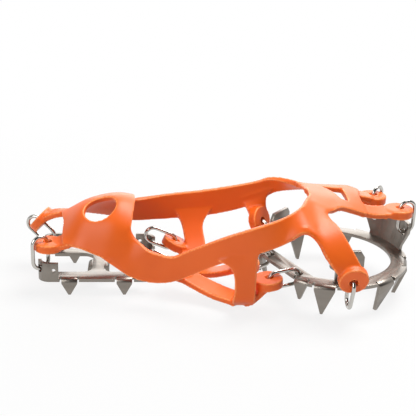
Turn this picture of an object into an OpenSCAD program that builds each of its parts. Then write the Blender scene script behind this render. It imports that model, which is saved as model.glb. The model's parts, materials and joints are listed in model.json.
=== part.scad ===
// Elastic hiking crampon: two toothed steel plates hung from one soft harness by ten wire links.
// Toe towards -X, heel towards +X, up is +Z, and the tooth tips stand on z = 0.

/* [Steel plates] */
// Thickness of the sheet steel
sheet_t = 1.8; // [1.4:0.1:2.2]
// Inner radius of every bend
bend_r = 0.8; // [0.6:0.1:1.2]
// Diameter of the link holes in the steel
plate_hole_d = 4.2; // [4:0.1:4.4]

/* [Front plate] */
// Height of the underside above the tooth tips
front_h = 7.2; // [6:0.2:9]
// Width over the two rails
front_w = 40; // [36:1:46]
// Width of one rail
rail_w = 8.5; // [7:0.5:10]
// Spacing of the two teeth on one rail
front_pitch = 28; // [24:1:32]
// Root width of a front tooth
front_tooth_w = 8; // [6:0.5:9]
// Narrowest width of the crossbar
waist_w = 6; // [5:0.5:7]
// Radius of the upturned corners
corner_r = 6; // [5.5:0.5:7]
// Height of the upturned corners above the rail
corner_h = 8.5; // [8:0.5:9]

/* [Heel plate] */
// Height of the underside above the tooth tips
heel_h = 16.2; // [14:0.2:18]
// Outer radius of the heel ring
ring_r = 40; // [38:0.5:42]
// Width of the ring strip
strip_w = 8.5; // [7.5:0.5:10]
// Depth that the straight front edge cuts off the ring
front_cut = 6.5; // [5:0.5:7.5]
// Root width of a heel tooth
heel_tooth_w = 10.5; // [8:0.5:11]
// Inward lean of the heel teeth
tooth_lean = 17; // [0:1:20]
// Height of the heel counter above the ring
counter_h = 16; // [14:0.5:18]
// Width of the heel counter at its top
counter_w = 35; // [30:1:38]
// Outward lean of the heel counter
counter_lean = 8; // [0:1:10]
// Turn of the heel plate in plan, as the limp harness lies
heel_turn = 26; // [22:1:30]

/* [Links] */
// Wire diameter
wire_d = 2; // [1.6:0.1:2.2]
// Outside length of a link
link_len = 19.2; // [18.8:0.1:20]
// Outside width of a link
link_w = 10.4; // [10.2:0.1:11]

/* [Harness] */
// Thickness of the moulded straps
strap_t = 3; // [2.4:0.2:3.4]
// Diameter of the end pads
pad_d = 15; // [14:0.2:15.6]
// Thickness of the end pads
pad_t = 4.6; // [4:0.2:5]
// Diameter of the holes in the pads
pad_hole_d = 4.6; // [4.4:0.1:4.8]
// Distance from a pad's hole to its free end
pad_free = 6.8; // [6.4:0.1:7]
// Gap left between the front and rear halves of the harness solids
split_gap = 0.4; // [0.3:0.1:1]

/* [Hidden] */

steel = "lightgray";
wire = "silver";
rubber = "orangered";
smooth = 48;
round_fn = 96;
// Overlap of shapes that are joined into one solid
lap = 1;

// Places of the two plates in plan
front_at = [-62.5, 7.6];
heel_at = [60, 0];
// Shift that puts the middle of the part over the origin
layout = [-1.7, 5, 0];

// Vector helpers
function unit(a) = a / norm(a);
function flat(a) = [cos(a), sin(a), 0];
function square_to(a, b) = unit(b - a * (a * b));

// Wire link
wire_r = wire_d / 2;
end_r = (link_w - wire_d) / 2;
link_pitch = link_len - wire_d;
link_run = link_pitch - 2 * end_r;

// Front plate
half_w = front_w / 2;
corner_x = 24;
flank = 4.5;
web_r = 5;
mark_d = 2;
mark_down = 4;
corner_hole_up = 4.8;
// Turn of the link holes round the front corners and the rear corners
hole_turn = [32, 14];
function front_pt(x, y, z) = [front_at[0] + x, front_at[1] + y, z];
// Middle of a corner's link hole: end is -1 at the front and 1 at the rear
function corner_hole(end, side, out) =
  front_pt(end * corner_x, side * (half_w - corner_r), front_h + corner_hole_up + sheet_t)
  + (corner_r - sheet_t / 2) * out;

// Heel plate
heel_top = heel_h + sheet_t;
heel_mid = heel_h + sheet_t / 2;
front_edge = ring_r - front_cut;
hole_inset = 0.2;
hole_a = front_edge - strip_w / 2 + hole_inset;
hole_b = 13;
side_turn = 114;
lug_wall = 1.4;
side_r = ring_r - lug_wall;
side_lean = 17.5;
side_drop = 0.7;
lug_r = plate_hole_d / 2 + lug_wall;
tooth_turns = [41, 82, 131];
tip_shift = -0.8;
spur_turn = 150;
spur_inset = 2;
spur_r = ring_r - spur_inset;
spur_w = 7;
spur_h = 9;
cheek_w = 17;
counter_hole_b = 12;
counter_hole_up = 10.5;
function heel_pt(a, b, z) = [
  heel_at[0] + a * cos(heel_turn) - b * sin(heel_turn),
  heel_at[1] + a * sin(heel_turn) + b * cos(heel_turn),
  z
];

// Each link joins a hole in the steel to a hole in a pad. side is -1 near, 1 far.
pad_up = 3.2;
seat = 0.3;
// The toe links stand in the front corners, the far one leaning forwards
toe_swing = [0, 14];
toe_tilt = [0, 50];
function pick(pair, side) = pair[side < 0 ? 0 : 1];
function toe_way(side) = flat(180 - side * hole_turn[0] + pick(toe_swing, side));
function toe_u(side) =
  let (tilt = pick(toe_tilt, side))
  cos(tilt) * [0, 0, 1] + sin(tilt) * toe_way(side);
function toe_v(side) =
  let (tilt = pick(toe_tilt, side))
  cos(tilt) * toe_way(side) - sin(tilt) * [0, 0, 1];
function toe_p1(side) = corner_hole(-1, side, flat(180 - side * hole_turn[0]));
function toe_c(side) = toe_p1(side) + [0, 0, end_r - seat] + link_run / 2 * toe_u(side);
function toe_p2(side) = toe_c(side) - end_r * toe_v(side) + pad_up * toe_u(side);

// The ball links hang out of the rear corners and dip to their pads
ball_swing = [-14, 4];
ball_dip = 24;
ball_slide = 2.6;
function ball_way(side) = flat(pick(ball_swing, side));
function ball_u(side) = cos(ball_dip) * ball_way(side) - [0, 0, sin(ball_dip)];
function ball_v(side) = sin(ball_dip) * ball_way(side) + [0, 0, cos(ball_dip)];
function ball_p1(side) = corner_hole(1, side, flat(side * hole_turn[1]));
function ball_c(side) = ball_p1(side) + end_r * ball_v(side) + ball_slide * ball_u(side);
function ball_p2(side) = ball_c(side) + (link_pitch / 2 - seat) * ball_u(side);

arch_swing = 8;
arch_drop = -3;
function arch_p1(side) = heel_pt(-hole_a, side * hole_b, heel_mid);
function arch_u(side) =
  cos(arch_drop) * flat(heel_turn + 180 + side * arch_swing) + [0, 0, sin(arch_drop)];
function arch_p2(side) = arch_p1(side) + (link_pitch - 2 * seat) * arch_u(side);

function side_out(side) = flat(heel_turn + side * side_turn);
function side_u(side) = -sin(side_lean) * side_out(side) - [0, 0, cos(side_lean)];
function side_v(side) = -cos(side_lean) * side_out(side) + [0, 0, sin(side_lean)];
function side_p1(side) = heel_pt(0, 0, heel_mid) + side_r * side_out(side);
function side_c(side) = side_p1(side) - end_r * side_v(side) - side_drop * side_u(side);
function side_p2(side) = side_c(side) - (link_pitch / 2 - seat) * side_u(side);

counter_turn = asin(counter_hole_b / ring_r);
function heel_out(side) = flat(heel_turn + side * counter_turn);
function heel_p1(side) =
  heel_pt(0, 0, heel_top + counter_hole_up)
  + (ring_r - sheet_t / 2 + (sheet_t + counter_hole_up) * tan(counter_lean)) * heel_out(side);
function heel_c(side) = heel_p1(side) + [0, 0, link_pitch / 2 - seat];
function heel_p2(side) = heel_c(side) - end_r * heel_out(side) + [0, 0, pad_up];

// Smooth surfaces through a coarse net of points
function spline(a, b, c, d, s) =
  b + 0.5 * s * ((c - a) + s * ((2 * a - 5 * b + 4 * c - d) + s * (3 * (b - c) + d - a)));
function along(list, s) =
  let (
    n = len(list) - 1,
    i = min(max(floor(s), 0), n - 1),
    a = i > 0 ? list[i - 1] : 2 * list[0] - list[1],
    d = i < n - 1 ? list[i + 2] : 2 * list[n] - list[n - 1]
  )
  spline(a, list[i], list[i + 1], d, s - i);
function net(grid, u, v) = along([for (row = grid) along(row, v)], u);
function net_normal(grid, u, v) =
  let (h = 0.02)
  unit(cross(
    net(grid, u + h, v) - net(grid, u - h, v),
    net(grid, u, v + h) - net(grid, u, v - h)
  ));

// Closed sheet of even thickness over the net, from row u0 to row u1
module sheet(grid, u0, u1, nu, nv) {
  cols = len(grid[0]) - 1;
  row = nv + 1;
  face = (nu + 1) * row;
  side = [for (k = [-1, 1], i = [0:nu], j = [0:nv])
    let (u = u0 + (u1 - u0) * i / nu, v = cols * j / nv)
    net(grid, u, v) + k * strap_t / 2 * net_normal(grid, u, v)];
  rim = concat(
    [for (j = [0:nv]) j],
    [for (i = [1:nu]) i * row + nv],
    [for (j = [1:nv]) nu * row + nv - j],
    [for (i = [1:nu - 1]) (nu - i) * row]
  );
  n = len(rim);
  faces = concat(
    [for (i = [0:nu - 1], j = [0:nv - 1]) let (q = i * row + j) each [
      [q, q + row, q + 1], [q + 1, q + row, q + row + 1],
      [face + q, face + q + 1, face + q + row],
      [face + q + 1, face + q + row + 1, face + q + row]
    ]],
    [for (i = [0:n - 1]) let (a = rim[i], b = rim[(i + 1) % n]) each [
      [a, b, face + b], [a, face + b, face + a]
    ]]
  );
  polyhedron(side, faces);
}

// Places children with their z along dir
module aim(at, dir) {
  z = unit(dir);
  x = square_to(z, abs(z[2]) > 0.9 ? [1, 0, 0] : [0, 0, 1]);
  y = cross(z, x);
  multmatrix([
    [x[0], y[0], z[0], at[0]],
    [x[1], y[1], z[1], at[1]],
    [x[2], y[2], z[2], at[2]]
  ]) children();
}

module pad(at, dir) {
  aim(at, dir) cylinder(d = pad_d, h = pad_t, center = true, $fn = smooth);
}

module pad_hole(at, dir) {
  aim(at, dir) cylinder(d = pad_hole_d, h = 4 * pad_t, center = true, $fn = smooth);
}

// Strap that ends in a pad, its wire hole nearer to the free end
module padded_strap(grid, nu, at, dir, towards) {
  back = square_to(unit(dir), towards);
  color(rubber) translate(layout) difference() {
    union() {
      sheet(grid, 0, len(grid) - 1, nu, 1);
      pad(at + (pad_d / 2 - pad_free) * back, dir);
    }
    pad_hole(at, dir);
  }
}

// Racetrack wire link with its long side along u and its short side along v
module link(c, u, v) {
  n = cross(u, v);
  color(wire) translate(layout) multmatrix([
    [u[0], v[0], n[0], c[0]],
    [u[1], v[1], n[1], c[1]],
    [u[2], v[2], n[2], c[2]]
  ]) for (k = [0, 180]) rotate([0, 0, k]) {
    translate([link_run / 2, 0, 0]) rotate([0, 0, -90])
      rotate_extrude(angle = 180, $fn = smooth) translate([end_r, 0]) circle(wire_r, $fn = smooth);
    translate([0, end_r, 0]) rotate([0, 90, 0])
      cylinder(r = wire_r, h = link_run, center = true, $fn = smooth);
  }
}

// Tooth bent down from an edge along x: y points outwards and z = 0 is the underside of the sheet
module tooth(w, h, lean, tip) {
  point_w = 1.2;
  root_h = 1;
  tang = 1.2;
  steps = 8;
  leg = (h + sheet_t) / cos(lean);
  run = [-sin(lean), -cos(lean)];
  turns = [for (k = [0:steps]) k * (90 + lean) / steps];
  outer = [for (t = turns) [0, -bend_r] + (bend_r + sheet_t) * [sin(t), cos(t)]];
  inner = [for (k = [0:steps]) let (t = turns[steps - k]) [0, -bend_r] + bend_r * [sin(t), cos(t)]];
  intersection() {
    rotate([90, 0, 90]) linear_extrude(w, center = true) polygon(concat(
      [[-tang, 0], [-tang, sheet_t]], outer,
      [outer[steps] + leg * run, inner[0] + leg * run], inner
    ));
    rotate([90, 0, 0]) linear_extrude(6 * bend_reach + h, center = true) polygon([
      [-w / 2, 2 * sheet_t], [-w / 2, -root_h], [tip - point_w / 2, -h],
      [tip + point_w / 2, -h], [w / 2, -root_h], [w / 2, 2 * sheet_t]
    ]);
  }
}

bend_reach = bend_r + sheet_t;
relief = 0.9;

// Cut that frees a tooth from the edge it is bent from
module tooth_relief(w) {
  translate([-w / 2 - relief, -relief / 3]) square([w + 2 * relief, 3 * bend_reach]);
}

// Rounded inside corner
module web() {
  difference() {
    translate([-lap, -lap]) square(web_r + lap);
    translate([web_r, web_r]) circle(web_r, $fn = smooth);
  }
}

module front_outline() {
  difference() {
    union() {
      for (s = [-1, 1], k = [-1, 1]) mirror([k > 0 ? 1 : 0, 0]) mirror([0, s < 0 ? 1 : 0]) {
        translate([-corner_x, half_w - rail_w]) square([corner_x + lap, rail_w]);
        translate([-corner_x, half_w - corner_r]) intersection() {
          circle(corner_r, $fn = smooth);
          translate([-corner_r, 0]) square(corner_r);
        }
      }
      square([waist_w, 2 * (half_w - rail_w + lap)], center = true);
      for (s = [-1, 1], k = [-1, 1]) translate([k * waist_w / 2, s * (half_w - rail_w)])
        mirror([k < 0 ? 1 : 0, 0]) mirror([0, s > 0 ? 1 : 0]) web();
    }
    for (s = [-1, 1], k = [-1, 1])
      translate([k * front_pitch / 2, s * (half_w - bend_reach)]) rotate(s < 0 ? 180 : 0)
        tooth_relief(front_tooth_w);
  }
}

module front_plate() {
  color(steel) translate(layout) translate([front_at[0], front_at[1], 0]) {
    translate([0, 0, front_h]) linear_extrude(sheet_t) front_outline();
    for (s = [-1, 1], k = [-1, 1])
      translate([k * front_pitch / 2, s * (half_w - bend_reach), front_h])
        rotate([0, 0, s < 0 ? 180 : 0]) tooth(front_tooth_w, front_h, 0, 0);
    for (k = [-1, 1]) translate([k * waist_w / 2, 0, front_h])
      rotate([0, 0, k < 0 ? 90 : -90]) tooth(front_tooth_w, front_h, 0, 0);
    for (s = [-1, 1], k = [-1, 1]) mirror([k > 0 ? 1 : 0, 0, 0]) mirror([0, s < 0 ? 1 : 0, 0])
      front_corner(hole_turn[k < 0 ? 0 : 1]);
  }
}

// Upturned corner, a curved wall with a link's hole
module front_corner(turn) {
  rise = sheet_t + corner_h;
  translate([-corner_x, half_w - corner_r, front_h]) difference() {
    union() {
      rotate([0, 0, 90]) rotate_extrude(angle = 90, $fn = smooth)
        translate([corner_r - sheet_t, 0]) square([sheet_t, rise]);
      translate([0, corner_r - sheet_t, 0]) cube([flank, sheet_t, rise]);
    }
    rotate([0, 0, 180 - turn]) translate([0, 0, sheet_t + corner_hole_up])
      rotate([0, 90, 0]) cylinder(d = plate_hole_d, h = 2 * corner_r, $fn = smooth);
    translate([flank / 2, 0, rise - mark_down]) rotate([-90, 0, 0])
      cylinder(d = mark_d, h = 2 * corner_r, $fn = smooth);
  }
}

module heel_outline() {
  difference() {
    union() {
      intersection() {
        circle(ring_r, $fn = round_fn);
        translate([-front_edge, -ring_r]) square([front_edge + ring_r, 2 * ring_r]);
      }
      for (s = [-1, 1]) rotate(s * side_turn) translate([side_r, 0]) circle(lug_r, $fn = smooth);
    }
    intersection() {
      circle(ring_r - strip_w, $fn = round_fn);
      translate([-front_edge + strip_w, -ring_r]) square([2 * ring_r, 2 * ring_r]);
    }
    for (s = [-1, 1]) translate([-hole_a, s * hole_b]) circle(d = plate_hole_d, $fn = smooth);
    for (s = [-1, 1]) rotate(s * side_turn) translate([side_r, 0])
      circle(d = plate_hole_d, $fn = smooth);
    for (s = [-1, 1], t = tooth_turns) rotate(s * t - 90)
      translate([0, ring_r - bend_reach]) tooth_relief(heel_tooth_w);
    for (s = [-1, 1]) rotate(s * spur_turn - 90)
      translate([0, spur_r - bend_reach]) tooth_relief(spur_w);
  }
}

module heel_plate() {
  color(steel) translate(layout) translate([heel_at[0], heel_at[1], heel_h])
    rotate([0, 0, heel_turn]) {
      linear_extrude(sheet_t) heel_outline();
      for (s = [-1, 1], t = tooth_turns) rotate([0, 0, s * t - 90])
        translate([0, ring_r - bend_reach, 0])
          mirror([s < 0 ? 1 : 0, 0, 0]) tooth(heel_tooth_w, heel_h, tooth_lean, tip_shift);
      for (s = [-1, 1]) rotate([0, 0, s * spur_turn - 90])
        translate([0, spur_r - bend_reach, 0]) tooth(spur_w, spur_h, 0, 0);
      heel_counter();
      for (s = [-1, 1]) rotate([0, 0, s * side_turn]) cheek();
    }
}

// Upright cheek at the inner edge of the strip, behind a side lug
module cheek() {
  top = sheet_t + counter_h;
  neck = cheek_w / 2 - 3;
  rotate([90, 0, 90]) translate([0, 0, ring_r - strip_w]) linear_extrude(sheet_t)
    for (k = [0, 1]) mirror([k, 0]) polygon([
      [-lap, 0], [neck, 0], [neck, 7], [cheek_w / 2, 9], [cheek_w / 2, top - 3],
      [cheek_w / 2 - 2, top], [-lap, top]
    ]);
}

// Upright heel counter, a curved wall that widens to its top
module heel_counter() {
  top = sheet_t + counter_h;
  out = top * tan(counter_lean);
  base = counter_w / 2 - 5;
  difference() {
    intersection() {
      rotate_extrude($fn = round_fn) polygon([
        [ring_r - sheet_t, 0], [ring_r, 0], [ring_r + out, top], [ring_r - sheet_t + out, top]
      ]);
      rotate([90, 0, 90]) linear_extrude(2 * ring_r) for (k = [0, 1]) mirror([k, 0]) polygon([
        [-lap, 0], [base, 0], [base, 4], [counter_w / 2, top - 5], [counter_w / 2, top - 2],
        [counter_w / 2 - 2, top], [-lap, top]
      ]);
    }
    for (s = [-1, 1]) rotate([0, 0, s * counter_turn])
      translate([0, 0, sheet_t + counter_hole_up]) rotate([0, 90, 0])
        cylinder(d = plate_hole_d, h = 2 * ring_r, $fn = smooth);
  }
}

// The ten links, named by where they sit on the foot
module near_toe_link() { link(toe_c(-1), toe_u(-1), toe_v(-1)); }
module far_toe_link() { link(toe_c(1), toe_u(1), toe_v(1)); }
module flat_link(p1, u) { link(p1 + (link_pitch / 2 - seat) * u, u, square_to(u, [0, 0, 1])); }
module near_ball_link() { link(ball_c(-1), ball_u(-1), ball_v(-1)); }
module far_ball_link() { link(ball_c(1), ball_u(1), ball_v(1)); }
module near_arch_link() { flat_link(arch_p1(-1), arch_u(-1)); }
module far_arch_link() { flat_link(arch_p1(1), arch_u(1)); }
module near_side_link() { link(side_c(-1), side_u(-1), side_v(-1)); }
module far_side_link() { link(side_c(1), side_u(1), side_v(1)); }
module near_heel_link() { link(heel_c(-1), [0, 0, 1], heel_out(-1)); }
module far_heel_link() { link(heel_c(1), [0, 0, 1], heel_out(1)); }

// Upper side bands: each row is a point on the top edge and a point on the bottom edge
near_band = [
  [[-48, -12, 41], [-62, -19, 26]], [[-43, -17, 35], [-52, -22, 19]],
  [[-37, -22, 30], [-44, -23, 15]], [[-30, -24, 28], [-35, -24, 13]],
  [[-24, -26, 28], [-26, -26, 14]], [[-17, -28, 32], [-17, -28, 18]],
  [[-7, -32, 38], [-6, -32, 25]], [[2, -35, 43], [3, -35, 30]],
  [[14, -37, 48], [16, -38, 35]], [[27, -35, 52], [28, -39, 40]],
  [[36, -29, 55], [37, -40, 46.5]], [[41, -18, 55.5], [47, -36, 48]],
  [[45, -7, 54.2], [54, -25, 50.4]]
];
far_band = [
  [[-50, 28, 37], [-58, 34, 24]], [[-43, 31, 36], [-44, 33, 23]],
  [[-27, 34, 38], [-24, 34, 24]], [[-8, 35, 40], [-8, 35, 25]],
  [[7, 36, 42], [10, 36, 28]], [[22, 36, 45], [24, 36, 33]],
  [[30, 34, 48], [33, 36, 39]], [[38, 28, 49], [42, 31, 43]],
  [[44, 14.5, 50.9], [51, 19.5, 48.5]]
];
// Length of the row in which each band is parted
near_row = 13;
far_row = 15;
// Rows between which each band is parted
near_cut = [8.6, 12];
far_cut = [3.6, 8];

module band_part(grid, u0, u1, nu) {
  color(rubber) translate(layout) sheet(grid, u0, u1, nu, 1);
}
module near_front_band() { band_part(near_band, 0, near_cut[0], 24); }
module near_mid_band() { band_part(near_band, near_cut[0] + split_gap / near_row, near_cut[1], 14); }
module far_front_band() { band_part(far_band, 0, far_cut[0], 16); }
module far_mid_band() { band_part(far_band, far_cut[0] + split_gap / far_row, far_cut[1], 12); }

// Toe panel: rows run from the toe to the instep, columns from the near edge to the far edge
toe_net = [
  [[-79, -13, 28], [-79, -6, 31], [-79, 2, 34], [-81, 12, 34], [-82, 22, 32]],
  [[-71, -17, 28], [-70, -10, 40], [-69, -1, 44], [-70, 13, 40.5], [-72, 27, 31]],
  [[-64, -19, 26], [-61, -13, 41.5], [-59, -1, 47.5], [-61, 17, 42], [-64, 30, 29]],
  [[-56, -21, 24], [-53, -15, 41.5], [-51, -1, 49], [-53, 20, 41.5], [-55, 32, 27]],
  [[-47, -21, 23], [-45, -15, 39.5], [-43.5, 1, 47], [-45, 24, 39], [-47, 33, 26]]
];
toe_hole_at = [-60.5, -7.5];
toe_hole = [16, 14];
// Height range of the cuts through the two panels
window_from = 30;
window_tall = 40;

module toe_panel() {
  color(rubber) translate(layout) difference() {
    sheet(toe_net, 0, 4, 10, 12);
    translate([toe_hole_at[0], toe_hole_at[1], window_from]) linear_extrude(window_tall)
      polygon([for (a = [0:15:345]) [toe_hole[0] / 2 * cos(a), toe_hole[1] / 2 * sin(a)]]);
  }
}

module near_toe_arm() {
  p = toe_p2(-1);
  padded_strap([
    [[-76, -4, 33], [-76, -15, 28]], [[-80, -4, 29], [-80, -13, 26]],
    [p + [1, 6, 0], p + [1, -6, 0]]
  ], 6, p, toe_u(-1), -toe_v(-1));
}

module far_toe_arm() {
  p = toe_p2(1);
  padded_strap([
    [[-79, 24, 32], [-79, 14, 34]], [[-86, 26, 31], [-86, 16, 32]],
    [p + [3, 5.5, 1.6], p + [0, -6, 1.6]]
  ], 8, p, toe_u(1), -toe_v(1));
}

// Side struts: each row is a front edge point and a rear edge point
near_strut_net = [
  [[1, -35, 33], [18, -38, 38]], [[4, -37, 26], [16, -38, 28]],
  [[5, -37, 16], [16, -38, 17]], [[5, -35, 9], [16, -36, 9]], [[6, -31, 5], [16, -31, 5]]
];
far_strut_net = [
  [[-22, 34, 29], [-1, 35, 30]], [[-18, 30, 22], [-6, 30, 22]],
  [[-16, 23, 14], [-5, 23, 14]], [[-14, 14, 7], [-4, 14, 7]], [[-13, 8, 4.5], [-3, 8, 4.5]]
];
module near_strut() { band_part(near_strut_net, 0, 4, 16); }
module far_strut() { band_part(far_strut_net, 0, 4, 16); }

// Straps under the foot, from the foot of a strut to the front plate and to the heel plate
module near_ball_strap() {
  p = ball_p2(-1);
  padded_strap([
    [[13, -24, 5], [6, -33, 5]], [[0, -14, 6], [-6, -25, 6]],
    [p + [4.5, 5, -1.6], p + [0.5, -6.5, -1.6]]
  ], 10, p, ball_v(-1), ball_u(-1));
}
module far_ball_strap() {
  p = ball_p2(1);
  padded_strap([
    [[-3, 13, 5.5], [-10, 5, 5]], [[-9, 22, 7], [-15, 12, 7]],
    [p + [2.5, 6, -1.6], p + [2.5, -6, -1.6]]
  ], 10, p, ball_v(1), ball_u(1));
}
module near_arch_strap() {
  p = arch_p2(-1);
  padded_strap([
    [[11, -24, 5], [11, -34, 5]], [[15, -25, 8], [15, -36, 8]], [p + [0, 6, 0], p + [0, -6, 0]]
  ], 8, p, square_to(arch_u(-1), [0, 0, 1]), arch_u(-1));
}
module far_arch_strap() {
  p = arch_p2(1);
  padded_strap([
    [[-8, 10, 5], [-11, 0, 5]], [[2, 5, 7], [-1, -6, 8]], [p + [0, 6, 0], p + [-2, -6, 0]]
  ], 10, p, square_to(arch_u(1), [0, 0, 1]), arch_u(1));
}

// Heel panel: rows run from the instep to the heel, columns from the near edge to the far edge
heel_net = [
  [[42, -20, 54.4], [44, -6, 54.2], [43.5, 5, 52.3], [42, 18, 50.2]],
  [[51, -24, 50.6], [52, -9, 52.3], [52, 7, 50.8], [52, 21.5, 48]],
  [[60, -14, 48.7], [60, -2, 49.7], [61, 10, 48.7], [62, 23, 47.2]],
  [[68, -9, 45], [69, 1, 46.4], [69, 11, 47.4], [71, 23.5, 46.6]],
  [[75, -6, 42], [75, 3, 44], [75, 12, 45.5], [77, 22, 45]]
];
heel_window = [[55.5, 15], [66, 16], [66.5, -2], [62, -3]];
module heel_panel() {
  color(rubber) translate(layout) difference() {
    sheet(heel_net, 0, 4, 10, 8);
    translate([0, 0, window_from]) linear_extrude(window_tall) polygon(heel_window);
  }
}

module near_heel_arm() {
  p = heel_p2(-1);
  padded_strap([
    [[73, 4, 44], [73, -6, 42.5]], [[82, 6, 42], [83, -3, 40]], [p + [-1, 6, 0], p + [0, -6, 0]]
  ], 8, p, [0, 0, 1], -heel_out(-1));
}
module far_heel_arm() {
  p = heel_p2(1);
  padded_strap([
    [[74, 22, 44], [74, 12, 45]], [[79, 25, 43], [80, 15, 43]], [p + [-4, 4, 0], p + [1, -6, 0]]
  ], 8, p, [0, 0, 1], -heel_out(1));
}

// Side straps, from the upper band down to the rim of the heel plate
module near_side_strap() {
  p = side_p2(-1);
  padded_strap([
    [[37, -33, 51.6], [47, -16, 53.2]], [[40.5, -39, 45.6], [51.5, -25, 50]],
    [[45, -43.5, 39.5], [56, -36, 45.5]], [[51, -46, 31], [63, -44, 35]],
    [p + [-6, 0, 1], p + [6, 0, 2]]
  ], 14, p, side_v(-1), -side_u(-1));
}
module far_side_strap() {
  p = side_p2(1);
  padded_strap([
    [[33, 35, 43], [14, 36, 36]], [[29, 35, 36], [17, 35, 32]], [p + [4, 5, 2], p + [-4, -5, 1]]
  ], 8, p, side_v(1), -side_u(1));
}

front_plate();
heel_plate();
near_toe_link();
far_toe_link();
near_ball_link();
far_ball_link();
near_arch_link();
far_arch_link();
near_side_link();
far_side_link();
near_heel_link();
far_heel_link();
toe_panel();
near_toe_arm();
far_toe_arm();
near_front_band();
far_front_band();
near_strut();
far_strut();
near_ball_strap();
far_ball_strap();
near_arch_strap();
far_arch_strap();
near_mid_band();
far_mid_band();
heel_panel();
near_side_strap();
far_side_strap();
near_heel_arm();
far_heel_arm();
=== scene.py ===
import json
import math

import bmesh
import bpy
import numpy as np
from mathutils import Matrix, Vector


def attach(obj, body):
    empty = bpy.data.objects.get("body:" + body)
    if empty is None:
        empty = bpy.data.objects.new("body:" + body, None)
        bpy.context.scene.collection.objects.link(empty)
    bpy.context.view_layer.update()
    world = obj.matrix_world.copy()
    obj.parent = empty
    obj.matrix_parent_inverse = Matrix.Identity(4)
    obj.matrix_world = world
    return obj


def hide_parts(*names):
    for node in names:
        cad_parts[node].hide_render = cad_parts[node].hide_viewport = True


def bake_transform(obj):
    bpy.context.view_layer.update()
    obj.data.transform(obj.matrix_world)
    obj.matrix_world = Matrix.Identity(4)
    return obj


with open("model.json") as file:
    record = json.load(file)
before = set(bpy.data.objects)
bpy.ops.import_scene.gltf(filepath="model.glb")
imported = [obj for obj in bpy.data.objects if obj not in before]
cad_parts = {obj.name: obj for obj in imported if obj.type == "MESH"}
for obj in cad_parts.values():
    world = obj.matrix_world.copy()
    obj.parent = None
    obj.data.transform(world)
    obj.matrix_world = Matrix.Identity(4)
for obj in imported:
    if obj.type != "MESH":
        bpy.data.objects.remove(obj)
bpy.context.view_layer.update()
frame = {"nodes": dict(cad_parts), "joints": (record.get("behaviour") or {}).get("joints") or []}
nodes = frame["nodes"]
mm = 0.001


def linear(r, g, b):  # colour picked on a screen, 0 to 255
    def one(c):
        c /= 255
        return c / 12.92 if c <= 0.04045 else ((c + 0.055) / 1.055) ** 2.4
    return one(r), one(g), one(b), 1.0


def addObject(name, data):
    obj = bpy.data.objects.new(name, data)
    bpy.context.scene.collection.objects.link(obj)
    return obj


# camera, placed where the photographer stood
camera = {
    "place": (-0.04133, -0.42397, 0.21288),
    "pitch": 0.37522,
    "yaw": 0.0785,
    "roll": -0.03492,
    "lens": 77.885,
    "sensor": 36.0,
}


def addCamera(c):
    forward = Vector((
        math.sin(c["yaw"]) * math.cos(c["pitch"]),
        math.cos(c["yaw"]) * math.cos(c["pitch"]),
        -math.sin(c["pitch"]),
    ))
    right = Vector((math.cos(c["yaw"]), -math.sin(c["yaw"]), 0))
    down = forward.cross(right)
    x = math.cos(c["roll"]) * right + math.sin(c["roll"]) * down
    y = math.sin(c["roll"]) * right - math.cos(c["roll"]) * down
    data = bpy.data.cameras.new("photoCamera")
    data.lens = c["lens"]
    data.sensor_width = c["sensor"]
    data.clip_start = 0.01
    cam = addObject("photoCamera", data)
    cam.matrix_world = Matrix((x, y, -forward)).transposed().to_4x4()
    cam.location = c["place"]
    bpy.context.scene.camera = cam


addCamera(camera)
print("camera set")


# studio: white sweep, soft lamps, a dimmer side behind the camera
studio = {
    "floorSize": 8.0,
    "floorColour": (0.64, 0.64, 0.635, 1),
    "floorGlow": (0.84, 1.0),  # share of plain white under the object and away from it
    "floorFade": (0.10, 0.34),
    "skyLight": 0.26,
    "dimSide": 0.06,
    "skyTurn": (-0.9, 0.1),  # from the dim side to the full sky, along y
    "backdropTurn": (-0.4, 0.3),
    "aim": (0, 0, 0.03),
    "lamps": {
        "topKey": {"at": (0.25, 0.12, 0.70), "size": 0.45, "watts": 7.2},
        "leftFill": {"at": (-0.55, -0.56, 0.42), "size": 0.5, "watts": 3.6},
        "backRim": {"at": (0.15, 0.85, 0.36), "size": 0.8, "watts": 4.4},
    },
}


def directRays(tree):  # rays that see the background: from the camera, and by way of metal or glass
    path = tree.nodes.new("ShaderNodeLightPath")
    plain = tree.nodes.new("ShaderNodeMath")
    clear = tree.nodes.new("ShaderNodeMath")
    plain.operation = clear.operation = "MAXIMUM"
    tree.links.new(path.outputs["Is Camera Ray"], plain.inputs[0])
    tree.links.new(path.outputs["Is Glossy Ray"], plain.inputs[1])
    tree.links.new(plain.outputs[0], clear.inputs[0])
    tree.links.new(path.outputs["Is Transmission Ray"], clear.inputs[1])
    return path.outputs["Is Camera Ray"], clear.outputs[0]


def softRamp(tree, value, span, low, high):
    ramp = tree.nodes.new("ShaderNodeMapRange")
    ramp.interpolation_type = "SMOOTHSTEP"
    ramp.inputs["From Min"].default_value, ramp.inputs["From Max"].default_value = span
    ramp.inputs["To Min"].default_value = low
    ramp.inputs["To Max"].default_value = high
    tree.links.new(value, ramp.inputs["Value"])
    return ramp.outputs["Result"]


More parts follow.
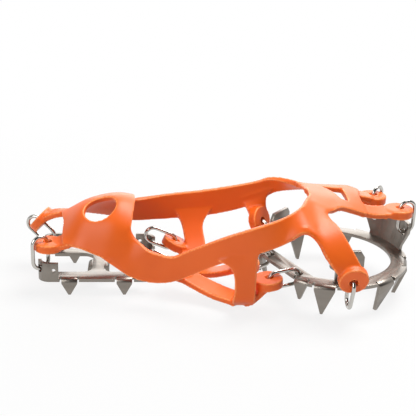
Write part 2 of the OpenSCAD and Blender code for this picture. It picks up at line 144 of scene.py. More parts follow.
def addFloor(s):
    half = s["floorSize"] / 2
    mesh = bpy.data.meshes.new("studioFloor")
    mesh.from_pydata([(-half, -half, 0), (half, -half, 0), (half, half, 0), (-half, half, 0)],
                     [], [(0, 1, 2, 3)])
    floor = addObject("studioFloor", mesh)
    mat = bpy.data.materials.new("whiteSweep")
    mat.use_nodes = True
    tree = mat.node_tree
    tree.nodes.clear()
    out = tree.nodes.new("ShaderNodeOutputMaterial")
    mix = tree.nodes.new("ShaderNodeMixShader")
    paper = tree.nodes.new("ShaderNodeBsdfDiffuse")
    glow = tree.nodes.new("ShaderNodeEmission")
    share = tree.nodes.new("ShaderNodeMath")
    coord = tree.nodes.new("ShaderNodeTexCoord")
    reach = tree.nodes.new("ShaderNodeVectorMath")
    paper.inputs["Color"].default_value = s["floorColour"]
    glow.inputs["Color"].default_value = (1, 1, 1, 1)
    share.operation = "MULTIPLY"
    reach.operation = "LENGTH"
    camera, direct = directRays(tree)
    tree.links.new(coord.outputs["Object"], reach.inputs[0])
    tree.links.new(direct, share.inputs[0])
    tree.links.new(softRamp(tree, reach.outputs["Value"], s["floorFade"], *s["floorGlow"]), share.inputs[1])
    tree.links.new(share.outputs[0], mix.inputs["Fac"])
    tree.links.new(paper.outputs[0], mix.inputs[1])
    tree.links.new(glow.outputs[0], mix.inputs[2])
    tree.links.new(mix.outputs[0], out.inputs["Surface"])
    mesh.materials.append(mat)


def addWorld(s):
    world = bpy.data.worlds.new("studioWorld")
    bpy.context.scene.world = world
    world.use_nodes = True
    tree = world.node_tree
    tree.nodes.clear()
    out = tree.nodes.new("ShaderNodeOutputWorld")
    mix = tree.nodes.new("ShaderNodeMixShader")
    sky = tree.nodes.new("ShaderNodeBackground")
    white = tree.nodes.new("ShaderNodeBackground")
    coord = tree.nodes.new("ShaderNodeTexCoord")
    split = tree.nodes.new("ShaderNodeSeparateXYZ")
    strength = tree.nodes.new("ShaderNodeMath")
    strength.operation = "MAXIMUM"
    camera, direct = directRays(tree)
    tree.links.new(coord.outputs["Generated"], split.inputs[0])
    away = split.outputs["Y"]
    tree.links.new(softRamp(tree, away, s["skyTurn"], s["dimSide"], s["skyLight"]), sky.inputs["Strength"])
    tree.links.new(camera, strength.inputs[0])
    tree.links.new(softRamp(tree, away, s["backdropTurn"], s["dimSide"], 1.0), strength.inputs[1])
    tree.links.new(strength.outputs[0], white.inputs["Strength"])
    tree.links.new(direct, mix.inputs["Fac"])
    tree.links.new(sky.outputs[0], mix.inputs[1])
    tree.links.new(white.outputs[0], mix.inputs[2])
    tree.links.new(mix.outputs[0], out.inputs["Surface"])


def addLamps(s):
    for name, lamp in s["lamps"].items():
        data = bpy.data.lights.new(name, "AREA")
        data.size = lamp["size"]
        data.energy = lamp["watts"]
        obj = addObject(name, data)
        obj.location = lamp["at"]
        ray = Vector(s["aim"]) - Vector(lamp["at"])
        obj.rotation_euler = ray.to_track_quat("-Z", "Y").to_euler()


bpy.context.scene.view_settings.view_transform = "Standard"
addFloor(studio)
addWorld(studio)
addLamps(studio)
print("studio lit")


# shader groups shared by the finishes
# mask for the lighter edge colour: partly wear, partly a painted highlight along the edges
rubAndHighlight = {"grainShare": 0.35, "full": 1.2}


def newGroup(name, inputs, outputs):
    group = bpy.data.node_groups.new(name, "ShaderNodeTree")
    for label, kind, value in inputs:
        socket = group.interface.new_socket(label, in_out="INPUT", socket_type=kind)
        if value is not None:
            socket.default_value = value
    for label, kind in outputs:
        group.interface.new_socket(label, in_out="OUTPUT", socket_type=kind)
    return group, group.nodes.new("NodeGroupInput"), group.nodes.new("NodeGroupOutput")


def makeGrainGroup():  # fine tooth and broad cloudiness of a surface
    group, gin, gout = newGroup(
        "surfaceGrain",
        [("Stretch", "NodeSocketVector", (1, 1, 1)), ("Fine Scale", "NodeSocketFloat", 900.0),
         ("Broad Scale", "NodeSocketFloat", 60.0)],
        [("Fine", "NodeSocketFloat"), ("Broad", "NodeSocketFloat")])
    coord = group.nodes.new("ShaderNodeTexCoord")
    scale = group.nodes.new("ShaderNodeVectorMath")
    scale.operation = "MULTIPLY"
    fine = group.nodes.new("ShaderNodeTexNoise")
    broad = group.nodes.new("ShaderNodeTexNoise")
    fine.inputs["Detail"].default_value = 3
    broad.inputs["Detail"].default_value = 2
    group.links.new(coord.outputs["Object"], scale.inputs[0])
    group.links.new(gin.outputs["Stretch"], scale.inputs[1])
    group.links.new(scale.outputs[0], fine.inputs["Vector"])
    group.links.new(scale.outputs[0], broad.inputs["Vector"])
    group.links.new(gin.outputs["Fine Scale"], fine.inputs["Scale"])
    group.links.new(gin.outputs["Broad Scale"], broad.inputs["Scale"])
    group.links.new(fine.outputs["Fac"], gout.inputs["Fine"])
    group.links.new(broad.outputs["Fac"], gout.inputs["Broad"])
    return group


def makeRubAndHighlightGroup():  # edges worn by handling and lightened as a painted highlight, from the edge mark stored on each mesh
    group, gin, gout = newGroup(
        "edgeRubAndHighlight",
        [("Grain", "NodeSocketFloat", 0.5), ("Reach", "NodeSocketFloat", 0.5)],
        [("Mask", "NodeSocketFloat")])
    mark = group.nodes.new("ShaderNodeAttribute")
    mark.attribute_name = "edgeMark"
    mixed = group.nodes.new("ShaderNodeMath")
    mixed.operation = "MULTIPLY_ADD"
    mixed.inputs[1].default_value = rubAndHighlight["grainShare"]
    soft = group.nodes.new("ShaderNodeMapRange")
    soft.interpolation_type = "SMOOTHSTEP"
    soft.inputs["From Max"].default_value = rubAndHighlight["full"]
    group.links.new(gin.outputs["Grain"], mixed.inputs[0])
    group.links.new(mark.outputs["Fac"], mixed.inputs[2])
    group.links.new(gin.outputs["Reach"], soft.inputs["From Min"])
    group.links.new(mixed.outputs[0], soft.inputs["Value"])
    group.links.new(soft.outputs["Result"], gout.inputs["Mask"])
    return group


grainGroup = makeGrainGroup()
rubAndHighlightGroup = makeRubAndHighlightGroup()

# the edge colour (rubbedAndHighlight) is lighter than the body: partly worn or polished edges, partly a
# painted highlight along them
finishes = {
    "orangeElastomer": {
        "colour": linear(240, 106, 28), "colourB": linear(230, 94, 22), "rubbedAndHighlight": linear(252, 146, 78),
        "metal": 0.0, "rough": (0.36, 0.46), "rubRough": 0.42, "stretch": (1, 1, 1), "specular": 0.4,
        "fineScale": 2600.0, "broadScale": 45.0, "bump": 0.20, "bumpDepth": 0.00012, "reach": 0.45,
    },
    "plateSteel": {
        "colour": linear(152, 145, 137), "colourB": linear(126, 119, 111), "rubbedAndHighlight": linear(206, 201, 193),
        "metal": 1.0, "rough": (0.26, 0.44), "rubRough": 0.22, "stretch": (0.12, 1, 1), "specular": 0.5,
        "fineScale": 3800.0, "broadScale": 150.0, "bump": 0.06, "bumpDepth": 0.00008, "reach": 0.4,
    },
    "linkWire": {
        "colour": linear(205, 202, 196), "colourB": linear(186, 182, 176), "rubbedAndHighlight": linear(235, 233, 229),
        "metal": 1.0, "rough": (0.10, 0.20), "rubRough": 0.10, "stretch": (1, 1, 1), "specular": 0.5,
        "fineScale": 3000.0, "broadScale": 240.0, "bump": 0.05, "bumpDepth": 0.00005, "reach": 0.6,
    },
}


def makeFinish(name, f):
    mat = bpy.data.materials.new(name)
    mat.use_nodes = True
    tree = mat.node_tree
    shader = tree.nodes["Principled BSDF"]
    grain = tree.nodes.new("ShaderNodeGroup")
    grain.node_tree = grainGroup
    grain.inputs["Stretch"].default_value = f["stretch"]
    grain.inputs["Fine Scale"].default_value = f["fineScale"]
    grain.inputs["Broad Scale"].default_value = f["broadScale"]
    edge = tree.nodes.new("ShaderNodeGroup")
    edge.node_tree = rubAndHighlightGroup
    edge.inputs["Reach"].default_value = f["reach"]
    tone = tree.nodes.new("ShaderNodeMix")
    tone.data_type = "RGBA"
    tone.inputs["A"].default_value = f["colour"]
    tone.inputs["B"].default_value = f["colourB"]
    # lighter colour mixed in on the edges: partly wear, partly a painted highlight
    wornAndHighlight = tree.nodes.new("ShaderNodeMix")
    wornAndHighlight.data_type = "RGBA"
    wornAndHighlight.inputs["B"].default_value = f["rubbedAndHighlight"]
    gloss = tree.nodes.new("ShaderNodeMapRange")
    gloss.inputs["To Min"].default_value, gloss.inputs["To Max"].default_value = f["rough"]
    glossWorn = tree.nodes.new("ShaderNodeMix")
    glossWorn.data_type = "FLOAT"
    glossWorn.inputs["B"].default_value = f["rubRough"]
    bump = tree.nodes.new("ShaderNodeBump")
    bump.inputs["Strength"].default_value = f["bump"]
    bump.inputs["Distance"].default_value = f["bumpDepth"]
    tree.links.new(grain.outputs["Broad"], tone.inputs["Factor"])
    tree.links.new(grain.outputs["Fine"], edge.inputs["Grain"])
    tree.links.new(tone.outputs["Result"], wornAndHighlight.inputs["A"])
    tree.links.new(edge.outputs["Mask"], wornAndHighlight.inputs["Factor"])
    tree.links.new(wornAndHighlight.outputs["Result"], shader.inputs["Base Color"])
    tree.links.new(grain.outputs["Broad"], gloss.inputs["Value"])
    tree.links.new(gloss.outputs["Result"], glossWorn.inputs["A"])
    tree.links.new(edge.outputs["Mask"], glossWorn.inputs["Factor"])
    tree.links.new(glossWorn.outputs["Result"], shader.inputs["Roughness"])
    tree.links.new(grain.outputs["Fine"], bump.inputs["Height"])
    tree.links.new(bump.outputs["Normal"], shader.inputs["Normal"])
    shader.inputs["Metallic"].default_value = f["metal"]
    shader.inputs["Specular IOR Level"].default_value = f["specular"]
    return mat


materials = {name: makeFinish(name, f) for name, f in finishes.items()}
print("finishes ready")


def newPiece(name, mesh, material):
    mesh.materials.clear()
    mesh.materials.append(materials[material])
    return addObject(name, mesh)


def baked(obj, name):  # modifiers turned into a plain mesh
    graph = bpy.context.evaluated_depsgraph_get()
    mesh = bpy.data.meshes.new_from_object(obj.evaluated_get(graph))
    mesh.name = name
    bpy.data.objects.remove(obj)
    return mesh


def markEdges(mesh, gain):  # how sharply the surface turns away at each point
    count = len(mesh.vertices)
    co = np.empty(count * 3)
    no = np.empty(count * 3)
    mesh.vertices.foreach_get("co", co)
    mesh.vertices.foreach_get("normal", no)
    co, no = co.reshape(-1, 3), no.reshape(-1, 3)
    ends = np.empty(len(mesh.edges) * 2, int)
    mesh.edges.foreach_get("vertices", ends)
    a, b = ends.reshape(-1, 2).T
    d = co[b] - co[a]
    size = np.maximum(np.linalg.norm(d, axis=1), 1e-9)
    turn = ((no[b] - no[a]) * d).sum(1) / size ** 2
    total, tally = np.zeros(count), np.zeros(count)
    for end in (a, b):
        np.add.at(total, end, turn)
        np.add.at(tally, end, 1)
    mark = np.clip(total / np.maximum(tally, 1) * gain, 0, 1)
    # the mark lightens convex edges in the finishes: partly wear, partly a painted highlight
    layer = mesh.attributes.new("edgeMark", "FLOAT", "POINT")
    layer.data.foreach_set("value", mark.astype(np.float32))


def linkPlace(node):  # long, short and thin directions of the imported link
    mesh = nodes[node].data
    co = np.empty(len(mesh.vertices) * 3)
    mesh.vertices.foreach_get("co", co)
    co = np.unique(co.reshape(-1, 3).round(7), axis=0)
    middle = (co.min(0) + co.max(0)) / 2
    axes = np.linalg.eigh(np.cov((co - middle).T))[1]
    along, across = axes[:, 2], axes[:, 1]
    basis = np.array([along, across, np.cross(along, across)]).T
    spots = (co - middle) @ basis
    middle = middle + basis @ ((spots.min(0) + spots.max(0)) / 2)
    return Matrix(basis.tolist()).to_4x4(), Vector(middle)


# harness: one moulded sheet. Nets are rows of points in mm, as wide as the sheet
harness = {
    "thick": 3.0,
    "padDiameter": 15.0,
    "padThick": 4.6,
    "padHole": 4.6,
    "padShift": 0.7,
    "loopPads": ("toe", "heel"),  # pierced along their link, the others across it
    "loopSide": 4.2,
    "loopUp": 3.2,
    "endReach": 8.3,
    "voxel": 0.6,
    "step": 1.2,
    "polish": 4,
    "smoothSpots": [  # joins of several sheets: middle, radius
        ((46, -25, 50.5), 12), ((46, 9, 51.5), 9), ((-46, -17.5, 32.5), 8), ((-50, -21, 23.5), 9),
        ((-49, 27, 34.5), 9), ((-50, 32, 27), 7), ((44, -40.5, 42.5), 9), ((49, -28, 48.5), 8)],
    "smoothPasses": 90,
    "filletPasses": 110,
    "filletFrom": 0.09,
    "filletDead": 0.4,
    "pull": 0.5,
    "windowDepth": 9,
    "edgeGain": 0.0015,
    "shift": (-1.7, 5.0, 0.0),
    "flexFrom": (0.0182, -0.0146, 0.03),
    "flexTo": (0.0397, -0.0041, 0.03),
}
nets = {
    "nearBand": [
        [(-48, -12, 41), (-62, -19, 26)], [(-43, -17, 35), (-52, -22, 19)],
        [(-37, -22, 30), (-44, -23, 15)], [(-30, -24, 28), (-35, -24, 13)],
        [(-24, -26, 28), (-26, -26, 14)], [(-17, -28, 32), (-17, -28, 18)],
        [(-7, -32, 38), (-6, -32, 25)], [(2, -35, 43), (3, -35, 30)],
        [(14, -37, 48), (16, -38, 35)], [(27, -35, 52), (28, -39, 40)],
        [(36, -29, 55), (37, -40, 46.5)], [(41, -18, 55.5), (45, -33, 47.6)],
        [(45, -7, 54.2), (51.5, -24.5, 50.2)]],
    "farBand": [
        [(-53.2, 22, 40), (-56, 32.3, 26)], [(-43, 29, 37.2), (-45, 33, 23.5)],
        [(-27, 34, 38), (-24, 34, 24)], [(-8, 35, 40), (-8, 35, 25)],
        [(7, 36, 42), (10, 36, 28)], [(22, 36, 45), (24, 36, 33)],
        [(30, 34, 48), (33, 36, 39)], [(38, 28, 49), (42, 31, 43)],
        [(44, 14.5, 50.9), (51, 19.5, 48.5)]],
    "toePanel": [
        [(-79, -13, 28), (-79, -6, 31), (-79, 2, 34), (-81, 12, 34), (-82, 22, 32)],
        [(-71, -17, 28), (-70, -10, 40), (-69, -1, 44), (-70, 13, 40.5), (-72, 27, 31)],
        [(-64, -19, 26), (-61, -13, 41.5), (-59, -1, 47.5), (-61, 17, 42), (-64, 30, 29)],
        [(-56, -21, 24), (-53, -15, 41.5), (-51, -1, 49), (-53, 20, 41.5), (-55, 32, 27)],
        [(-47, -21, 23), (-45, -15, 39.5), (-43.5, 1, 47), (-45, 24, 39), (-47, 33, 26)]],
    "heelPanel": [
        [(42, -20, 54.4), (44, -6, 54.2), (43.5, 5, 52.3), (42, 18, 50.2)],
        [(51, -24, 50.6), (52, -9, 52.3), (52, 7, 50.8), (52, 21.5, 48)],
        [(60, -14, 48.7), (60, -2, 49.7), (61, 10, 48.7), (62, 23, 47.2)],
        [(68, -9, 45), (69, 1, 46.4), (69, 11, 47.4), (71, 23.5, 46.6)],
        [(75, -6, 42), (75, 3, 44), (75, 12, 45.5), (77, 22, 45)]],
    "nearStrut": [
        [(-3, -34.5, 30), (24, -38.6, 41)], [(3, -36.2, 27), (17.2, -38, 36)],
        [(5.2, -37, 22), (16, -38, 29)], [(5.6, -36.8, 14), (16, -37.5, 15)],
        [(5, -35, 9), (16, -36, 9)], [(6, -31, 5), (16, -31, 5)]],
    "hubWeb": [  # fillet between the near band and its side strap
        [(34, -38, 47), (31, -39.3, 42.8)], [(37.5, -38, 49), (36, -39.9, 45.7)],
        [(41, -37.6, 47.6), (39.2, -40.3, 45.8)], [(44, -38.6, 46), (41.6, -41, 44.2)],
        [(46.6, -40.6, 42.6), (44.1, -42.2, 41.4)], [(49, -43.6, 37.5), (46.7, -44, 37)]],
    "farStrut": [
        [(-22, 34, 29), (-1, 35, 30)], [(-18, 30, 22), (-6, 30, 22)],
        [(-16, 23, 14), (-5, 23, 14)], [(-14, 14, 7), (-4, 14, 7)], [(-13, 8, 4.5), (-3, 8, 4.5)]],
}
# straps, each ending in a pad on its link: rows of points, then the last row as seen from the wire hole
straps = {
    "near_toe_link": (
        [[(-76, -4, 33), (-76, -15, 28)], [(-80, -4, 29), (-80, -13, 26)]],
        [(1, 6, 0), (1, -6, 0)]),
    "far_toe_link": (
        [[(-79, 24, 32), (-79, 14, 34)], [(-86, 26, 31), (-86, 16, 32)]],
        [(3, 5.5, 1.6), (0, -6, 1.6)]),
    "near_ball_link": (
        [[(13, -24, 5), (6, -33, 5)], [(0, -14, 6), (-6, -25, 6)]],
        [(4.5, 5, -1.6), (0.5, -6.5, -1.6)]),
    "far_ball_link": (
        [[(-3, 13, 5.5), (-10, 5, 5)], [(-9, 22, 7), (-15, 12, 7)]],
        [(2.5, 6, -1.6), (2.5, -6, -1.6)]),
    "near_arch_link": (
        [[(11, -24, 5), (11, -34, 5)], [(15, -25, 8), (15, -36, 8)]],
        [(0, 6, 0), (0, -6, 0)]),
    "far_arch_link": (
        [[(-8, 10, 5), (-11, 0, 5)], [(2, 5, 7), (-1, -6, 8)]],
        [(0, 6, 0), (-2, -6, 0)]),
    "near_heel_link": (
        [[(73, 4, 44), (73, -6, 42.5)], [(82, 6, 42), (83, -3, 40)]],
        [(-1, 6, 0), (0, -6, 0)]),
    "far_heel_link": (
        [[(74, 22, 44), (74, 12, 45)], [(79, 25, 43), (80, 15, 43)]],
        [(-4, 4, 0), (1, -6, 0)]),
    "near_side_link": (
        [[(37, -33, 51.6), (47, -16, 53.2)], [(40.5, -39, 45.6), (51.5, -25, 50)],
         [(45, -43.5, 39.5), (56, -36, 45.5)], [(51, -46, 31), (63, -44, 35)]],
        [(-6, 0, 1), (6, 0, 2)]),
    "far_side_link": (
        [[(33, 35, 43), (14, 36, 36)], [(29, 35, 36), (17, 35, 32)]],
        [(4, 5, 2), (-4, -5, 1)]),
}
windows = {  # openings through a panel, mm in plan
    "toePanel": [(-60.5 + 8 * math.cos(a), -7.5 + 7 * math.sin(a))
                 for a in np.linspace(0, 2 * math.pi, 32, endpoint=False)],
    "heelPanel": [(55.5, 15), (62, -3), (66.5, -2), (66, 16)],
}


def spline(points, s):  # smooth curve through a list of points
    n = len(points) - 1
    i = min(max(int(math.floor(s)), 0), n - 1)
    b, c = points[i], points[i + 1]
    a = points[i - 1] if i > 0 else 2 * b - c
    d = points[i + 2] if i < n - 1 else 2 * c - b
    t = s - i
    return b + 0.5 * t * ((c - a) + t * ((2 * a - 5 * b + 4 * c - d) + t * (3 * (b - c) + d - a)))


def netPoint(net, u, v):
    return spline([spline(row, v) for row in net], u)


def sheetMesh(bm, net, thick, step):  # closed sheet of even thickness over a net
    net = [[np.array(p, float) for p in row] for row in net]
    rows, cols = len(net) - 1, len(net[0]) - 1
    long = sum(np.linalg.norm(net[i + 1][0] - net[i][0]) for i in range(rows))
    wide = max(sum(np.linalg.norm(row[j + 1] - row[j]) for j in range(cols)) for row in net)
    nu, nv = max(4, round(long / step)), max(4, round(wide / step))
    h = 0.02
    sides = ([], [])
    for i in range(nu + 1):
        for j in range(nv + 1):
            u, v = rows * i / nu, cols * j / nv
            p = netPoint(net, u, v)
            n = np.cross(netPoint(net, u + h, v) - netPoint(net, u - h, v),
                         netPoint(net, u, v + h) - netPoint(net, u, v - h))
            n *= thick / 2 / np.linalg.norm(n)
            sides[0].append(bm.verts.new(Vector(p - n)))
            sides[1].append(bm.verts.new(Vector(p + n)))
    low, top = sides
    row = nv + 1
    for i in range(nu):
        for j in range(nv):
            q = i * row + j
            bm.faces.new((low[q], low[q + 1], low[q + row + 1], low[q + row]))
            bm.faces.new((top[q], top[q + row], top[q + row + 1], top[q + 1]))
    rim = ([j for j in range(nv + 1)] + [i * row + nv for i in range(1, nu + 1)]
           + [nu * row + nv - j for j in range(1, nv + 1)] + [(nu - i) * row for i in range(1, nu)])
    for a, b in zip(rim, rim[1:] + rim[:1]):
        bm.faces.new((low[a], top[a], top[b], low[b]))


def windowCutter(bm, net, outline, depth):  # prism square to the panel at the middle of the outline
    net = [[np.array(p, float) for p in row] for row in net]
    rows, cols = len(net) - 1, len(net[0]) - 1
    middle = np.mean(outline, 0)
    spots = [(u, v) for u in np.linspace(0, rows, 60) for v in np.linspace(0, cols, 60)]
    u, v = min(spots, key=lambda s: np.linalg.norm(netPoint(net, *s)[:2] - middle))
    h = 0.05
    centre = netPoint(net, u, v)
    normal = np.cross(netPoint(net, u + h, v) - netPoint(net, u - h, v),
                      netPoint(net, u, v + h) - netPoint(net, u, v - h))
    normal /= np.linalg.norm(normal)
    ring = []
    for x, y in outline:
        dx, dy = x - centre[0], y - centre[1]
        z = centre[2] - (normal[0] * dx + normal[1] * dy) / normal[2]
        ring.append(np.array((x, y, z)))
    low = [bm.verts.new(Vector(p - depth * normal)) for p in ring]
    top = [bm.verts.new(Vector(p + depth * normal)) for p in ring]
    bm.faces.new(low[::-1])
    bm.faces.new(top)
    for i in range(len(ring)):
        j = (i + 1) % len(ring)
        bm.faces.new((low[i], low[j], top[j], top[i]))


def disc(bm, centre, direction, diameter, height, sides=48):
    turn = Vector(direction).to_track_quat("Z", "Y").to_matrix().to_4x4()
    bmesh.ops.create_cone(bm, cap_ends=True, segments=sides, radius1=diameter / 2, radius2=diameter / 2,
                          depth=height, matrix=Matrix.Translation(centre) @ turn)


def objectFrom(bm, name):
    bmesh.ops.recalc_face_normals(bm, faces=bm.faces)
    mesh = bpy.data.meshes.new(name)
    bm.to_mesh(mesh)
    bm.free()
    return addObject(name, mesh)


def remeshed(obj, voxel, polish):
    mod = obj.modifiers.new("weld", "REMESH")
    mod.mode = "VOXEL"
    mod.voxel_size = voxel
    soft = obj.modifiers.new("soften", "SMOOTH")
    soft.factor = 0.5
    soft.iterations = polish
    name = obj.name
    return addObject(name, baked(obj, name))


def neighbourMean(mesh):  # gives a function: the way from each point to the middle of its neighbours
    count = len(mesh.vertices)
    ends = np.empty(len(mesh.edges) * 2, int)
    mesh.edges.foreach_get("vertices", ends)
    a, b = ends.reshape(-1, 2).T
    tally = np.bincount(ends, minlength=count)[:, None]

    def pull(p):
        total = [np.bincount(a, p[b, i], count) + np.bincount(b, p[a, i], count) for i in range(3)]
        return np.stack(total, 1) / tally - p
    return pull


def fillCorners(mesh, h):  # inside corners filled to a fillet, a little on each pass
    co = np.empty(len(mesh.vertices) * 3)
    no = np.empty(len(mesh.vertices) * 3)
    pull = neighbourMean(mesh)
    mesh.vertices.foreach_get("co", co)
    for k in range(h["filletPasses"]):
        mesh.vertices.foreach_get("normal", no)
        move = pull(co.reshape(-1, 3))
        out = (move * no.reshape(-1, 3)).sum(1)
        share = h["pull"] * np.clip(out / h["voxel"] / h["filletFrom"] - h["filletDead"], 0, 1)
        co += (share[:, None] * move).ravel()
        mesh.vertices.foreach_set("co", co)
        mesh.update()


def evenOut(mesh, h):  # smooths the skin round each spot
    co = np.empty(len(mesh.vertices) * 3)
    pull = neighbourMean(mesh)
    mesh.vertices.foreach_get("co", co)
    p = co.reshape(-1, 3)
    share = np.zeros(len(p))
    for middle, radius in h["smoothSpots"]:
        near = np.clip(1 - np.linalg.norm(p - np.array(middle), axis=1) / radius, 0, 1)
        share = np.maximum(share, near * near * (3 - 2 * near))
    for k in range(h["smoothPasses"]):
        p += h["pull"] * share[:, None] * pull(p)
    mesh.vertices.foreach_set("co", co)
    mesh.update()


def cutBy(obj, tool):
    mod = obj.modifiers.new("cut", "BOOLEAN")
    mod.operation = "DIFFERENCE"
    mod.solver = "EXACT"
    mod.object = tool
    name = obj.name
    mesh = baked(obj, name)
    bpy.data.objects.remove(tool)
    return addObject(name, mesh)


def padPlace(node, h):  # wire hole in mm, direction of the hole, direction away from the pad's free end
    joint = next(j for j in frame["joints"] if j["child"] == node)
    axis = Vector(joint["axis"])
    turn, middle = linkPlace(node)
    along, across = (v if v.dot(axis) > 0 else -v for v in (turn.col[0].to_3d(), turn.col[1].to_3d()))
    middle = middle / mm - Vector(h["shift"])
    if node.split("_")[1] in h["loopPads"]:
        return middle + h["loopSide"] * across + h["loopUp"] * along, along, across
    return middle + h["endReach"] * along, across, along


def buildHarness(h):
    shift = Vector(h["shift"])
    pads = {node: padPlace(node, h) for node in straps}
    objs = []
    for name, net in nets.items():
        bm = bmesh.new()
        sheetMesh(bm, net, h["thick"], h["step"])
        objs.append(objectFrom(bm, name))
        if name in windows:
            bm = bmesh.new()
            windowCutter(bm, net, windows[name], h["windowDepth"])
            objs[-1] = cutBy(objs[-1], objectFrom(bm, name + "Window"))
    for name, (net, last) in straps.items():
        hole, direction, back = pads[name]
        net = net + [[tuple(hole + Vector(p)) for p in last]]
        bm = bmesh.new()
        sheetMesh(bm, net, h["thick"], h["step"])
        objs.append(objectFrom(bm, name))
        bm = bmesh.new()
        disc(bm, hole + h["padShift"] * back, direction, h["padDiameter"], h["padThick"])
        objs.append(objectFrom(bm, name + "Pad"))
    bm = bmesh.new()
    for obj in objs:
        bm.from_mesh(obj.data)
        bpy.data.objects.remove(obj)
    mesh = bpy.data.meshes.new("elastomerHarness")
    bm.to_mesh(mesh)
    bm.free()
    obj = remeshed(addObject("elastomerHarness", mesh), h["voxel"], h["polish"])
    fillCorners(obj.data, h)
    evenOut(obj.data, h)
    bm = bmesh.new()
    for hole, direction, back in pads.values():
        disc(bm, hole, direction, h["padHole"], 4 * h["padThick"])
    obj = cutBy(obj, objectFrom(bm, "wireHoles"))
    mesh = obj.data
    mesh.transform(Matrix.Scale(mm, 4) @ Matrix.Translation(shift))
    mesh.shade_smooth()
    mesh.update()
    markEdges(mesh, h["edgeGain"])
    mesh.materials.clear()
    mesh.materials.append(materials["orangeElastomer"])
    return obj


harnessObj = buildHarness(harness)
print("harness moulded:", len(harnessObj.data.polygons), "faces")
harnessNodes = [n for n in nodes if n.endswith(("_panel", "_arm", "_band", "_strut", "_strap"))]
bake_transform(harnessObj)
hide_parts(*harnessNodes)


# steel plates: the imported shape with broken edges
plates = {
    "front_plate": {"piece": "frontPlate", "body": "forefoot"},
    "heel_plate": {"piece": "heelPlate", "body": "hindfoot"},
}
plateEdge = {"width": 0.00022, "segments": 2, "angle": 30.0, "weld": 1e-6, "flat": 1.0}


def buildPlate(node, p):
    bm = bmesh.new()
    bm.from_mesh(nodes[node].data)
    bmesh.ops.remove_doubles(bm, verts=bm.verts, dist=plateEdge["weld"])
    flat = math.radians(plateEdge["flat"])
    bmesh.ops.dissolve_limit(bm, angle_limit=flat, verts=bm.verts, edges=bm.edges)
    mesh = bpy.data.meshes.new(p["piece"])
    bm.to_mesh(mesh)
    bm.free()
    obj = addObject(p["piece"], mesh)
    mod = obj.modifiers.new("brokenEdge", "BEVEL")
    mod.width = plateEdge["width"]
    mod.segments = plateEdge["segments"]
    mod.limit_method = "ANGLE"
    mod.angle_limit = math.radians(plateEdge["angle"])
    mod.material = 1  # tells the broken edges from the flat faces; the broken edges get the lighter edge colour, partly polish and partly a painted highlight
    for k in range(2):
        mesh.materials.append(materials["plateSteel"])
    mesh = baked(obj, p["piece"])
    mesh.set_sharp_from_angle(angle=math.radians(plateEdge["angle"]))
    broken = [face.material_index for face in mesh.polygons for k in face.loop_indices]
    layer = mesh.attributes.new("edgeMark", "FLOAT", "CORNER")
    layer.data.foreach_set("value", np.array(broken, np.float32))
    mesh.polygons.foreach_set("material_index", np.zeros(len(mesh.polygons), np.int32))
    return newPiece(p["piece"], mesh, "plateSteel")


for node, p in plates.items():
    piece = buildPlate(node, p)
    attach(piece, p["body"])
    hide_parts(node)
print("plates stamped")


# wire links: one bent-wire tree, set in place by each packed link
link = {"Wire Diameter": 0.0020, "Length": 0.0192, "Width": 0.0104}
wire = {"bendPoints": 14, "roundPoints": 20, "halfBend": 0.4999, "edgeGain": 0.0001}


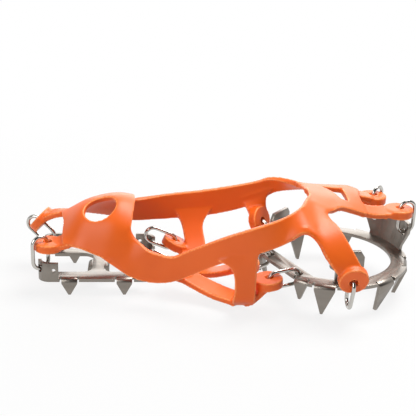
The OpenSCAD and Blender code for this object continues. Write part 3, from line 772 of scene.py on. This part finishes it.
def makeLinkTree():
    tree = bpy.data.node_groups.new("wireLink", "GeometryNodeTree")
    tree.interface.new_socket("Geometry", in_out="INPUT", socket_type="NodeSocketGeometry")
    tree.interface.new_socket("Geometry", in_out="OUTPUT", socket_type="NodeSocketGeometry")
    for label in link:
        tree.interface.new_socket(label, in_out="INPUT", socket_type="NodeSocketFloat")
    tree.interface.new_socket("Finish", in_out="INPUT", socket_type="NodeSocketMaterial")
    new = tree.nodes.new
    gin, gout = new("NodeGroupInput"), new("NodeGroupOutput")

    def combine(op, a, b):
        node = new("ShaderNodeMath")
        node.operation = op
        for k, v in enumerate((a, b)):
            if isinstance(v, (int, float)):
                node.inputs[k].default_value = v
            else:
                tree.links.new(v, node.inputs[k])
        return node.outputs[0]

    thick, length, width = (gin.outputs[k] for k in link)
    longRun = combine("SUBTRACT", length, thick)
    shortRun = combine("SUBTRACT", width, thick)
    bend = combine("MULTIPLY", shortRun, wire["halfBend"])
    path = new("GeometryNodeCurvePrimitiveQuadrilateral")
    tree.links.new(longRun, path.inputs["Width"])
    tree.links.new(shortRun, path.inputs["Height"])
    fillet = new("GeometryNodeFilletCurve")
    fillet.mode = "POLY"
    fillet.inputs["Count"].default_value = wire["bendPoints"]
    tree.links.new(path.outputs["Curve"], fillet.inputs["Curve"])
    tree.links.new(bend, fillet.inputs["Radius"])
    section = new("GeometryNodeCurvePrimitiveCircle")
    section.inputs["Resolution"].default_value = wire["roundPoints"]
    tree.links.new(combine("MULTIPLY", thick, 0.5), section.inputs["Radius"])
    sweep = new("GeometryNodeCurveToMesh")
    tree.links.new(fillet.outputs["Curve"], sweep.inputs["Curve"])
    tree.links.new(section.outputs["Curve"], sweep.inputs["Profile Curve"])
    shade = new("GeometryNodeSetShadeSmooth")
    tree.links.new(sweep.outputs["Mesh"], shade.inputs["Geometry"])
    real = new("GeometryNodeRealizeInstances")
    tree.links.new(shade.outputs["Geometry"], real.inputs["Geometry"])
    paint = new("GeometryNodeSetMaterial")
    tree.links.new(real.outputs["Geometry"], paint.inputs["Geometry"])
    tree.links.new(gin.outputs["Finish"], paint.inputs["Material"])
    tree.links.new(paint.outputs["Geometry"], gout.inputs["Geometry"])
    return tree


linkTree = makeLinkTree()
sockets = {item.name: item.identifier for item in linkTree.interface.items_tree if item.in_out == "INPUT"}
for node in [n for n in nodes if n.endswith("_link")]:
    carrier = addObject(node + "_path", bpy.data.meshes.new(node + "_path"))
    mod = carrier.modifiers.new("wireLink", "NODES")
    mod.node_group = linkTree
    for label, value in link.items():
        mod[sockets[label]] = value
    mod[sockets["Finish"]] = materials["linkWire"]
    side, place, end = node.split("_")
    name = side + place.title() + "Link"
    mesh = baked(carrier, name)
    turn, middle = linkPlace(node)
    mesh.transform(Matrix.Translation(middle) @ turn)
    if turn.determinant() < 0:
        mesh.flip_normals()
    markEdges(mesh, wire["edgeGain"])
    piece = newPiece(name, mesh, "linkWire")
    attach(piece, node)
    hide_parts(node)
print("links hung")
